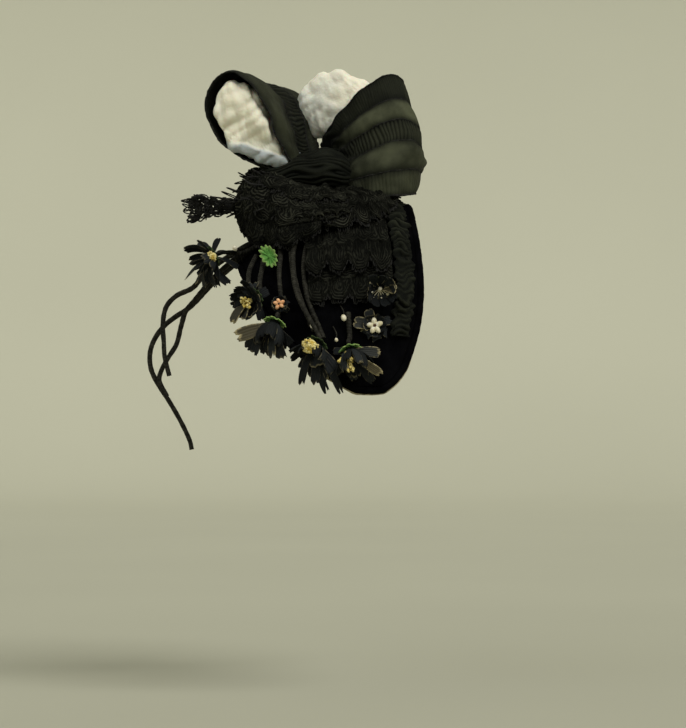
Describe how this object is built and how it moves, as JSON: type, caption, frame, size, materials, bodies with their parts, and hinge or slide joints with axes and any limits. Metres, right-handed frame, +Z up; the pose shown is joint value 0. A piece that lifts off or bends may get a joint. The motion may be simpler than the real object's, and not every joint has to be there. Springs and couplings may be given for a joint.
{
  "type": "evening bonnet",
  "caption": "Small black evening bonnet: velvet saddle cap with lace tiers, a looped ribbon bow, strap-petalled cloth flowers and curling covered stems.",
  "frame": {"origin": "the point of the cap's inner side that rests on the crown of the head", "axes": "+Z up with the head bowed as worn, -Y the way the wearer faces, +X the wearer's left"},
  "size_m": [0.1788, 0.1383, 0.1927],
  "materials": {
    "velvet": "matt black silk velvet",
    "lace": "black machine lace",
    "ribbon": "sheer black ribbon with gathered bands",
    "tissue": "crumpled white tissue paper",
    "covered_wire": "wire wrapped in black thread",
    "petal_cloth": "stiffened black petal cloth",
    "stamens": "ochre flocked tips",
    "calyx_green": "green stiffened cloth"
  },
  "bodies": {
    "root": {"back_ruche": "velvet", "bow_knot": "ribbon", "bow_loop_back": "ribbon", "bow_loop_front": "ribbon", "bow_tissue_back": "tissue", "bow_tissue_front": "tissue", "calyx_brow": "calyx_green", "calyx_cheek": "calyx_green", "calyx_crown": "calyx_green", "calyx_ear": "calyx_green", "calyx_front": "calyx_green", "calyx_temple": "calyx_green", "calyx_tier": "calyx_green", "lace_front_frill": "lace", "lace_lower_left": "lace", "lace_lower_right": "lace", "lace_mound": "lace", "lace_upper_left": "lace", "lace_upper_right": "lace", "long_stem_a": "covered_wire", "long_stem_b": "covered_wire", "long_stem_c": "covered_wire", "petals_brow": "petal_cloth", "petals_centre": "petal_cloth", "petals_cheek": "petal_cloth", "petals_ear": "petal_cloth", "petals_front": "petal_cloth", "petals_lobe": "petal_cloth", "petals_temple": "petal_cloth", "petals_tier": "petal_cloth", "rim_roll": "velvet", "stamens_brow": "stamens", "stamens_centre": "stamens", "stamens_cheek": "stamens", "stamens_ear": "stamens", "stamens_front": "stamens", "stamens_lobe": "stamens", "stamens_tier": "stamens", "stem_brow": "covered_wire", "stem_centre": "covered_wire", "stem_cheek": "covered_wire", "stem_crown": "covered_wire", "stem_ear": "covered_wire", "stem_front": "covered_wire", "stem_temple": "covered_wire", "velvet_base": "velvet"}
  },
  "joints": []
}
